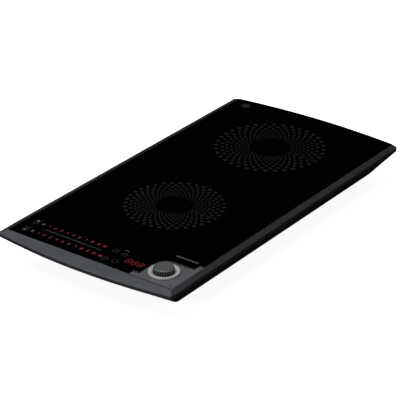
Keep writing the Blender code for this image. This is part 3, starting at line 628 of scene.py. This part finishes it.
def make_frame(finishes):
    """The grey surround: its glass edge, strips, rounded rim, lip and the ledge under the glass. Its
    side and back strips, the lip's sides and the seam by the plate take darker copies of their paint:
    painted shade.
    """
    low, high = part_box("top_frame")
    glass_low, glass_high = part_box("top_glass")
    glass_top = glass_high.z
    field_half = glass_high.x + GAP / 2
    field_front = glass_low.y - GAP / 2
    field_back = glass_high.y + GAP / 2
    rim_top = glass_top - RIM_BELOW_GLASS

    def outer(z, inset, back_inset=None, dips=False):
        back = high.y - (inset if back_inset is None else back_inset)
        corner = max(OUTER_CORNER - inset, 0.5 * MM)
        ring = bowed_outline(z, high.x - inset, low.y + inset, back, FRONT_BOW, BACK_BOW, corner)
        if not dips:
            return ring
        sunk = []
        for x, y, height in ring:
            dip = min(1.0, max(0.0, (low.y + SHOULDER_RUN - y) / (SHOULDER_RUN - FRONT_BOW)))
            sunk.append((x, y, height - FRONT_DROP * dip))
        return sunk

    def field(z, inset):
        front = field_front + inset
        back = field_back - inset
        return bowed_outline(z, field_half - inset, front, back, 0.0, BACK_BOW, FIELD_CORNER)

    inner_edge = field(glass_top - 0.1 * MM, -GAP / 2 - 0.15 * MM)
    rim_start = outer(rim_top, RIM_RADIUS, BACK_RIM_WIDTH, dips=True)
    seam_end = [Vector(a).lerp(Vector(b), SEAM_SHARE) for a, b in zip(inner_edge, rim_start)]
    top_rings = [field(glass_top - 0.35 * MM, -GAP / 2), inner_edge, seam_end]
    rounding = 5
    for k in range(rounding + 1):
        turn = pi / 2 * k / rounding
        share = 1 - sin(turn)
        z = rim_top - RIM_RADIUS + RIM_RADIUS * cos(turn)
        top_rings.append(outer(z, RIM_RADIUS * share, BACK_RIM_WIDTH * share, dips=True))
    under = [
        outer(low.z + 0.4 * MM, 0.0),
        outer(low.z + 0.12 * MM, 0.12 * MM),
        outer(low.z, 0.4 * MM),
        outer(low.z, LIP_THICKNESS),
        outer(glass_top - LEDGE_BOTTOM_DEPTH, LIP_THICKNESS),
        field(glass_top - LEDGE_BOTTOM_DEPTH, LEDGE_WIDTH),
        field(glass_top - LEDGE_TOP_DEPTH, LEDGE_WIDTH),
        field(glass_top - LEDGE_TOP_DEPTH, -GAP / 2),
    ]
    plate_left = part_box("knob_plate")[0].x
    seam_number = 1
    lip_start = len(top_rings) - 2
    names = ("frame_grey", "frame_side_shade", "frame_lip", "lip_side_shade", "plate_edge_shade")

    def finish_name(number, face):
        if number >= lip_start:
            face.normal_update()
            # The lip's faces towards the sides take the darker copy, painted shade
            return "lip_side_shade" if abs(face.normal.x) > abs(face.normal.y) else "frame_lip"
        spot = face.calc_center_median()
        across = abs(spot.x) - field_half
        ahead = field_front - spot.y
        behind = spot.y - (field_back - BACK_BOW)
        # The seam beside the plate takes the near black of the plate's edge, painted shade
        if number == seam_number and ahead > 0 and spot.x > plate_left:
            return "plate_edge_shade"
        # Past the mitres the side and back strips take the darker copy of the grey paint, painted
        # shade
        if ahead > 0 and across < ahead * MITRE_SLOPE:
            return "frame_grey"
        return "frame_side_shade" if across > 0 or behind > 0 else "frame_grey"

    def finish_of(number, face):
        return names.index(finish_name(number, face))

    bm = bmesh.new()
    add_rings(bm, top_rings + under, wrap=True, finish_of=finish_of)
    used = [finishes[name] for name in names]
    shell = finish_mesh("frame_shell", bm, "base", used, smooth_angle=28)
    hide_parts("top_frame")


def rounded_polygon(corners, inset=0.0, steps=14):
    """Outline from (x, y, radius) corners, counterclockwise, moved inwards by inset."""
    points = []
    for i, (x, y, radius) in enumerate(corners):
        before = Vector(corners[i - 1][:2])
        after = Vector(corners[(i + 1) % len(corners)][:2])
        here = Vector((x, y))
        coming = (here - before).normalized()
        going = (after - here).normalized()
        normal_in = Vector((-coming.y, coming.x))
        normal_out = Vector((-going.y, going.x))
        corner = here + (normal_in + normal_out) * inset / (1 + normal_in.dot(normal_out))
        turn = coming.cross(going)
        side = 1.0 if turn > 0 else -1.0
        if radius == 0.0:
            points.append(tuple(corner))
            continue
        angle = coming.angle(going)
        radius = max(radius - side * inset, 0.05 * MM)
        start = corner - coming * radius * tan(angle / 2)
        centre = start + side * radius * Vector((-coming.y, coming.x))
        for k in range(steps + 1):
            spun = Matrix.Rotation(side * angle * k / steps, 2) @ (start - centre)
            points.append(tuple(centre + spun))
    return points


def plate_corners():
    """The plate's opening: an ear at its front left and a horn at its back right."""
    low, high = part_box("knob_plate")
    left = low.x - GAP / 2
    right = high.x + GAP / 2
    front = low.y - GAP / 2
    horn_back = high.y + GAP / 2
    ear_back = front + PLATE_EAR_DEPTH
    back = horn_back - PLATE_HORN_DEPTH
    main_left = left + PLATE_EAR_RUN
    horn_left = right - PLATE_HORN_WIDTH
    return [
        (left, front, 0.5 * MM),
        (right, front, FIELD_CORNER),
        (right, horn_back, 0.5 * MM),
        (horn_left, horn_back, 3 * MM),
        (horn_left, back, 3 * MM),
        (main_left, back, PLATE_ROUND),
        (main_left, ear_back, 2 * MM),
        (left, ear_back, 3 * MM),
    ]


def glass_corners():
    """The glass's opening: the frame's field less the plate's notch."""
    low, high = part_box("top_glass")
    half = high.x + GAP / 2
    front = low.y - GAP / 2
    field_back = high.y + GAP / 2
    plate = plate_corners()
    back = []
    edge_points = 32
    for k in range(edge_points + 1):
        x = half * (1 - 2 * k / edge_points)
        y = field_back - BACK_BOW * (x / BOW_HALF_SPAN) ** 2
        back.append((x, y, FIELD_CORNER if k in (0, edge_points) else 0.0))
    notch = [plate[0]] + plate[:1:-1]
    return [(-half, front, FIELD_CORNER)] + notch + back


def flat_plate(name, node, corners, used, edge):
    """A plate with a rounded top edge. Its edge takes the last finish in used, its top the first."""
    low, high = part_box(node)
    rings = [[(x, y, low.z) for x, y in rounded_polygon(corners, GAP / 2)]]
    rounding = 4
    for k in range(rounding + 1):
        turn = pi / 2 * k / rounding
        inset = GAP / 2 + edge * (1 - cos(turn))
        z = high.z - edge + edge * sin(turn)
        rings.append([(x, y, z) for x, y in rounded_polygon(corners, inset)])
    bm = bmesh.new()
    add_rings(bm, rings, finish_of=lambda number, face: len(used) - 1)
    piece = finish_mesh(name, bm, "base", used)
    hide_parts(node)
    return piece


def cut_hole(piece, x, y, low, high, radius):
    """Takes a round hole out of a piece."""
    bm = bmesh.new()
    add_rings(bm, [circle(x, y, z, radius, 48) for z in (low, high)])
    bmesh.ops.recalc_face_normals(bm, faces=bm.faces)
    mesh = bpy.data.meshes.new("hole_tool")
    bm.to_mesh(mesh)
    bm.free()
    tool = bpy.data.objects.new("hole_tool", mesh)
    bpy.context.scene.collection.objects.link(tool)
    step = piece.modifiers.new("hole", "BOOLEAN")
    step.operation = "DIFFERENCE"
    step.object = tool
    graph = bpy.context.evaluated_depsgraph_get()
    graph.update()
    cut = bpy.data.meshes.new_from_object(piece.evaluated_get(graph))
    piece.modifiers.clear()
    piece.data = cut
    bpy.data.objects.remove(tool)


def make_top(finishes):
    """The glass and the plate, with the plate's hole for the knob's shaft."""
    used = [finishes["glass_black"]]
    flat_plate("glass_sheet", "top_glass", glass_corners(), used, 0.45 * MM)
    # The plate's rounded edge takes the near black plate_edge_shade, painted shade
    used = [finishes["plate_grey"], finishes["plate_edge_shade"]]
    plate = flat_plate("control_plate", "knob_plate", plate_corners(), used, 0.8 * MM)
    low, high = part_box("knob_plate")
    knob = middle("knob")
    cut_hole(plate, knob.x, knob.y, low.z - MM, high.z + MM, 3.9 * MM)


# ---------------------------------------------------------------- knob and ring


def fluted(x, y, z, radius, depth):
    """Circle with narrow notches between broad crests."""
    points = []
    count = FLUTE_COUNT * POINTS_PER_FLUTE
    for i in range(count):
        phase = (i % POINTS_PER_FLUTE) / POINTS_PER_FLUTE
        notch = max(0.0, cos(2 * pi * (phase - 0.5))) ** 1.5
        angle = 2 * pi * i / count
        reach = radius - depth * notch
        points.append((x + reach * cos(angle), y + reach * sin(angle), z))
    return points


def make_knob(finishes):
    """The dial: hollow below, with a boss for the shaft, fluted round its side and dished on top. Its
    side's crests take a darker copy of the top's chrome and its notches and hollow a near black:
    painted shade.
    """
    low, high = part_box("knob")
    centre = (low + high) / 2
    x, y = centre.x, centre.y
    radius = high.x - centre.x
    shaft_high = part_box("encoder_shaft")[1].z
    count = FLUTE_COUNT * POINTS_PER_FLUTE
    ceiling = high.z - KNOB_WALL
    boss_end = low.z + KNOB_BOSS_RISE
    hollow = (
        (KNOB_BORE, shaft_high + 0.4 * MM),
        (KNOB_BORE, boss_end),
        (KNOB_BOSS, boss_end),
        (KNOB_BOSS, ceiling),
        (radius - KNOB_WALL, ceiling),
        (radius - KNOB_WALL, low.z),
    )
    rings = [circle(x, y, z, reach, count) for reach, z in hollow]
    rings += [
        fluted(x, y, low.z, radius - 0.2 * MM, FLUTE_DEPTH),
        fluted(x, y, low.z + 0.3 * MM, radius, FLUTE_DEPTH),
    ]
    side_start = len(rings) - 2
    rings.append(fluted(x, y, high.z - KNOB_SHOULDER - 0.3 * MM, radius - KNOB_DRAFT, FLUTE_DEPTH))
    side_end = len(rings) - 1
    crown_steps = 6
    for k in range(1, crown_steps):
        turn = pi / 2 * k / crown_steps
        reach = radius - KNOB_DRAFT - KNOB_CROWN * (1 - cos(turn))
        z = high.z - KNOB_SHOULDER - 0.2 * MM + (KNOB_SHOULDER - 0.1 * MM) * sin(turn)
        rings.append(fluted(x, y, z, reach, FLUTE_DEPTH * (1 - 0.18 * k)))
    dish = (
        (radius - 1.75 * MM, 0.0),
        (radius - 2.6 * MM, 0.02 * MM),
        (radius - 2.9 * MM, 0.12 * MM),
        (radius * 0.55, 0.22 * MM),
        (radius * 0.2, 0.26 * MM),
    )
    rings += [circle(x, y, high.z - drop, reach, count) for reach, drop in dish]
    # Finishes: the top's chrome, the side's darker copy and the notches' near black, both painted
    # shade
    top, crest, notch = range(3)

    def finish_of(number, face):
        if number < side_start:
            return notch
        if number >= side_end:
            return top
        spot = face.calc_center_median()
        reach = sqrt((spot.x - x) ** 2 + (spot.y - y) ** 2)
        return crest if reach > radius - 0.4 * MM else notch

    bm = bmesh.new()
    add_rings(bm, rings, finish_of=finish_of)
    used = [finishes[name] for name in ("dark_chrome", "knob_side_shade", "knob_notch_shade")]
    knob = finish_mesh("knob_dial", bm, "knob", used, smooth_angle=40)
    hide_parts("knob")


def ring_bore():
    """The ring's inner radius: the nearest of its points to its axis."""
    centre = middle("knob_ring")
    points = frame["nodes"]["knob_ring"].data.vertices
    return min(sqrt((p.co.x - centre.x) ** 2 + (p.co.y - centre.y) ** 2) for p in points)


def make_ring(finishes):
    """The silver ring: a bright outer wall and a top that slopes down towards the knob, with near
    black painted shade on its foot and its inner edge.
    """
    low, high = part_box("knob_ring")
    centre = (low + high) / 2
    outer = high.x - centre.x
    inner = ring_bore()
    foot = low.z + RING_FOOT_HEIGHT
    inside = low.z + RING_INSIDE_HEIGHT
    profile = [
        (inner, low.z),
        (outer - 0.5 * MM, low.z),
        (outer - 0.3 * MM, low.z + 0.1 * MM),
        (outer - 0.2 * MM, foot - 0.05 * MM),
        (outer, foot),
        (outer, high.z - 0.5 * MM),
        (outer - 0.12 * MM, high.z - 0.18 * MM),
        (outer - 0.45 * MM, high.z),
        (outer - 0.9 * MM, high.z - 0.1 * MM),
        (inner + 0.5 * MM, inside),
        (inner + 0.15 * MM, inside - 0.1 * MM),
        (inner, inside - 0.4 * MM),
    ]
    # The silver faces; the foot, the underside and the inner edge take the near black painted shade
    bright = range(4, 10)

    def finish_of(number, face):
        return 0 if number in bright else 1

    bm = bmesh.new()
    rings = [circle(centre.x, centre.y, z, radius, 128) for radius, z in profile]
    add_rings(bm, rings, wrap=True, finish_of=finish_of)
    used = [finishes["satin_silver"], finishes["ring_wall_shade"]]
    ring = finish_mesh("bezel_ring", bm, "base", used)
    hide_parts("knob_ring")


# ---------------------------------------------------------------- feet


def make_feet(finishes):
    """Rubber feet with grooved soles, and a stem up into the tray."""
    for end in ("front", "rear"):
        for side in ("left", "right"):
            node = "foot_" + end + "_" + side
            low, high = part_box(node)
            centre = (low + high) / 2
            radius = high.x - centre.x
            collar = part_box("bottom_housing")[0].z - GAP
            stem = 3.5 * MM
            profile = [(1.5 * MM, low.z + 0.5 * MM)]
            for groove in (3.2 * MM, 5.6 * MM, 8.0 * MM):
                profile += [
                    (groove - 0.5 * MM, low.z + 0.5 * MM),
                    (groove - 0.2 * MM, low.z),
                    (groove + 1.0 * MM, low.z),
                    (groove + 1.3 * MM, low.z + 0.5 * MM),
                ]
            edge = 1.2 * MM
            for k in range(5):
                turn = pi / 2 * k / 4
                profile.append((radius - edge + edge * sin(turn), low.z + edge - edge * cos(turn)))
            profile += [
                (radius - 0.3 * MM, collar - 1.6 * MM),
                (radius - 0.5 * MM, collar - 0.6 * MM),
                (radius - 1.1 * MM, collar),
                (stem, collar),
                (stem, high.z),
            ]
            bm = bmesh.new()
            add_rings(bm, [circle(centre.x, centre.y, z, reach, 48) for reach, z in profile])
            foot = finish_mesh("rubber_" + node, bm, "base", [finishes["rubber"]])
            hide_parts(node)


# ---------------------------------------------------------------- prints on the glass

# The bars of a figure, each between two (across, up) corners, and the bars that each figure shows
SEGMENTS = {
    "a": ((0, 2), (1, 2)),
    "b": ((1, 2), (1, 1)),
    "c": ((1, 1), (1, 0)),
    "d": ((0, 0), (1, 0)),
    "e": ((0, 0), (0, 1)),
    "f": ((0, 1), (0, 2)),
    "g": ((0, 1), (1, 1)),
}
FIGURES = {
    "1": "bc",
    "2": "abged",
    "3": "abgcd",
    "4": "fgbc",
    "5": "afgcd",
    "6": "afgedc",
    "7": "abc",
    "8": "abcdefg",
    "9": "gfabcd",
}


def add_figure(bm, figure, x, y, width, height, stroke, low, slant=0.12, trim=0.12):
    """A slanted figure made of bars, each trimmed at its ends by a share of its width."""
    for key in FIGURES[figure]:
        ends = []
        for across, up in SEGMENTS[key]:
            rise = (up / 2 - 0.5) * height
            ends.append(Vector((x + (across - 0.5) * width + slant * rise, y + rise)))
        along = (ends[1] - ends[0]).normalized() * stroke * trim
        add_stroke(bm, (ends[0] + along, ends[1] - along), stroke, low)


def make_zone_prints(finishes):
    """The dotted rings of both cooking zones, every second ring turned by half a dot's pitch."""
    glass_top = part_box("top_glass")[1].z
    for zone, growth in ZONE_PRINT_GROWTH.items():
        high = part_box("mica_sheet_" + zone)[1]
        centre = middle("coil_carrier_" + zone)
        reach = high.x - middle("mica_sheet_" + zone).x + growth
        bm = bmesh.new()
        for number, share in enumerate(ZONE_RINGS):
            radius = reach * share
            pitch = 2 * pi / ZONE_DOTS
            phase = 0.5 if number % 2 else 0.0
            for k in range(ZONE_DOTS):
                angle = pitch * (k + phase)
                x = centre.x + radius * cos(angle)
                y = centre.y + radius * sin(angle)
                add_dot(bm, x, y, radius * pitch * DOT_SHARE, glass_top)
        line = [(centre.x + reach * share, centre.y - 0.01 * reach) for share in ZONE_LINE]
        add_stroke(bm, line, 2.2 * MM, glass_top)
        finish_mesh("zone_print_" + zone, bm, "base", [finishes["print_dots"]])


def make_key_prints(finishes):
    """Two rows of lit figures, the marks of the keys before them and the scale between them."""
    glass_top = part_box("top_glass")[1].z
    low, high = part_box("key_light_guide")
    upper = high.y - UPPER_ROW_INSET
    lower = low.y + LOWER_ROW_INSET
    start = low.x + FIGURE_INSET
    dim = bmesh.new()
    bright = bmesh.new()
    for row, count in ((upper, UPPER_KEYS), (lower, LOWER_KEYS)):
        for k in range(count):
            target = dim if k < DIM_KEYS else bright
            x = start + FIGURE_PITCH * k
            if k < HIGHEST_FIGURE:
                add_figure(target, str(k + 1), x, row, 2.6 * MM, 4.8 * MM, 0.9 * MM, glass_top)
            else:
                add_loop(target, box_points(x, row, 2.2 * MM, 2.2 * MM), 0.8 * MM, glass_top)
                add_dot(target, x, row, 0.9 * MM, glass_top)
    finish_mesh("key_figures", dim, "base", [finishes["lit_dim"]])
    finish_mesh("lit_key_figures", bright, "base", [finishes["lit_bright"]])

    outlines = bmesh.new()
    marks = bmesh.new()
    for row, lit_side in ((upper, 1), (lower, -1)):
        x = low.x + ZONE_KEY_INSET
        add_loop(outlines, box_points(x, row, 4.2 * MM, 6.2 * MM), 0.8 * MM, glass_top)
        ring = arc_points(x, row - lit_side * 2.9 * MM, 1.9 * MM, 0, 360, 16)[:-1]
        add_loop(outlines, ring, 0.7 * MM, glass_top)
        add_dot(marks, x, row + lit_side * 2.9 * MM, 2.1 * MM, glass_top, 16)
        x = low.x + PLUS_KEY_INSET
        add_stroke(marks, ((x - 2.7 * MM, row), (x + 2.7 * MM, row)), 1.4 * MM, glass_top)
        for side in (-1, 1):
            ends = ((x, row + side * 0.8 * MM), (x, row + side * 2.7 * MM))
            add_stroke(marks, ends, 1.4 * MM, glass_top)
    finish_mesh("zone_key_outlines", outlines, "base", [finishes["print_icon"]])
    finish_mesh("zone_key_marks", marks, "base", [finishes["print_light"]])

    row = (upper + lower) / 2 + 0.9 * MM
    left = start - 0.8 * MM
    middle_marks = bmesh.new()
    end_marks = bmesh.new()
    for k in range(SCALE_TICKS):
        at_end = k < SCALE_LEFT_END or k >= SCALE_TICKS - SCALE_RIGHT_END
        x = left + SCALE_PITCH * k
        half = (1.5 + 0.6 * k / SCALE_TICKS) * MM
        ends = ((x, row - half), (x, row + half))
        add_stroke(end_marks if at_end else middle_marks, ends, 1.5 * MM, glass_top)
    finish_mesh("slider_scale", middle_marks, "base", [finishes["print_scale"]])
    finish_mesh("slider_scale_ends", end_marks, "base", [finishes["print_green"]])


def make_icons(finishes):
    """Plain marks of the touch keys: a timer, a padlock, a pause and a power mark, and an arc."""
    glass_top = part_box("top_glass")[1].z
    display = middle("display_module")
    line = 0.9 * MM

    def place(offset):
        return display.x + offset[0], display.y + offset[1]

    bm = bmesh.new()
    x, y = place(TIMER_PLACE)
    add_loop(bm, arc_points(x, y, 5.0 * MM, 0, 360, 28)[:-1], line, glass_top)
    add_stroke(bm, ((x, y + 3.2 * MM), (x, y), (x + 2.4 * MM, y)), line, glass_top)
    x, y = place(PADLOCK_PLACE)
    add_loop(bm, box_points(x, y - 0.4 * MM, 4.6 * MM, 2.6 * MM), line, glass_top)
    add_stroke(bm, arc_points(x, y + 2.2 * MM, 3.0 * MM, 0, 180, 12), line, glass_top)
    add_dot(bm, x, y - 0.4 * MM, 1.1 * MM, glass_top)
    x, y = place(PAUSE_PLACE)
    add_loop(bm, arc_points(x, y, 5.0 * MM, 0, 360, 28)[:-1], line, glass_top)
    for side in (-1, 1):
        bar = x + side * 1.5 * MM
        add_stroke(bm, ((bar, y - 2.2 * MM), (bar, y + 2.2 * MM)), line, glass_top)
    x, y = place(POWER_PLACE)
    add_stroke(bm, arc_points(x, y, 4.8 * MM, 125, 415, 26), 1.1 * MM, glass_top)
    add_stroke(bm, ((x, y + 1.2 * MM), (x, y + 5.4 * MM)), 1.1 * MM, glass_top)
    finish_mesh("key_icons", bm, "base", [finishes["print_icon"]])

    bm = bmesh.new()
    x, y = place(ARC_PLACE)
    add_stroke(bm, arc_points(x, y, 4.0 * MM, 20, 150, 10), 1.5 * MM, glass_top)
    finish_mesh("key_arc", bm, "base", [finishes["print_scale"]])


def make_display(finishes):
    """Three slanted figures with every bar lit."""
    glass_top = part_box("top_glass")[1].z
    display = middle("display_module")
    width = 6.4 * MM
    height = 10.4 * MM
    stroke = 1.3 * MM
    bm = bmesh.new()
    for k, figure in enumerate("888"):
        x = display.x + DISPLAY_PITCH * (k - 1)
        add_figure(bm, figure, x, display.y, width, height, stroke, glass_top, slant=0.2, trim=0.6)
    finish_mesh("display_figures", bm, "base", [finishes["lit_display"]])


def make_marks(finishes):
    """A plain bar and a corner glyph on the glass; the knob's end marks on the plate, and a dark line
    along the plate's front edge that paints the shade where it meets the frame.
    """
    glass_low, glass_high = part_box("top_glass")
    glass_top = glass_high.z
    knob = middle("knob")
    bm = bmesh.new()
    x = knob.x + BAR_PLACE[0]
    y = knob.y + BAR_PLACE[1]
    add_stroke(bm, ((x - BAR_HALF, y), (x + BAR_HALF, y)), 3.4 * MM, glass_top)
    finish_mesh("plain_bar", bm, "base", [finishes["print_bar"]])

    bm = bmesh.new()
    x = glass_low.x + GLYPH_INSET[0]
    y = glass_high.y - GLYPH_INSET[1]
    add_loop(bm, arc_points(x, y, 6.4 * MM, 0, 360, 32)[:-1], 1.0 * MM, glass_top)
    for side in (-1, 0, 1):
        wave = []
        for k in range(7):
            sway = 0.8 * MM * sin(k * pi / 3)
            wave.append((x + side * 2.6 * MM + sway, y + (k - 3) * 1.0 * MM))
        add_stroke(bm, wave, 0.9 * MM, glass_top)
    finish_mesh("corner_glyph", bm, "base", [finishes["print_scale"]])

    plate_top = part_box("knob_plate")[1].z
    y = knob.y + PLATE_MARK_Y
    minus_x = knob.x + MINUS_X
    plus_x = knob.x + PLUS_X
    bm = bmesh.new()
    for x in (minus_x, plus_x):
        add_stroke(bm, ((x - 1.7 * MM, y), (x + 1.7 * MM, y)), 0.8 * MM, plate_top)
    for start, end in ((-1.7 * MM, -0.4 * MM), (0.4 * MM, 1.7 * MM)):
        add_stroke(bm, ((plus_x, y + start), (plus_x, y + end)), 0.8 * MM, plate_top)
    finish_mesh("plate_marks", bm, "base", [finishes["tray_black"]])

    # A dark stroke along the plate's front edge: painted shade where the plate meets the front strip
    bm = bmesh.new()
    plate_low, plate_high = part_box("knob_plate")
    y = plate_low.y + 0.75 * MM
    ends = ((plate_low.x + 1.2 * MM, y), (plate_high.x - 1.5 * MM, y))
    add_stroke(bm, ends, 1.8 * MM, plate_top)
    finish_mesh("plate_shade_line", bm, "base", [finishes["plate_edge_shade"]])


# ---------------------------------------------------------------- carried-over nodes


def finish_nodes(finishes):
    """Gives each remaining CAD node the material of its slot in the record."""
    for part in frame["record"]["subparts"]:
        node = frame["nodes"][part["node"]]
        if node.hide_render:
            continue
        node.data.materials.clear()
        node.data.materials.append(finishes[part["material_slot"]])


make_camera()
make_stage()
materials = make_materials()
make_frame(materials)
make_top(materials)
make_ring(materials)
make_knob(materials)
make_feet(materials)
make_zone_prints(materials)
make_key_prints(materials)
make_icons(materials)
make_display(materials)
make_marks(materials)
finish_nodes(materials)
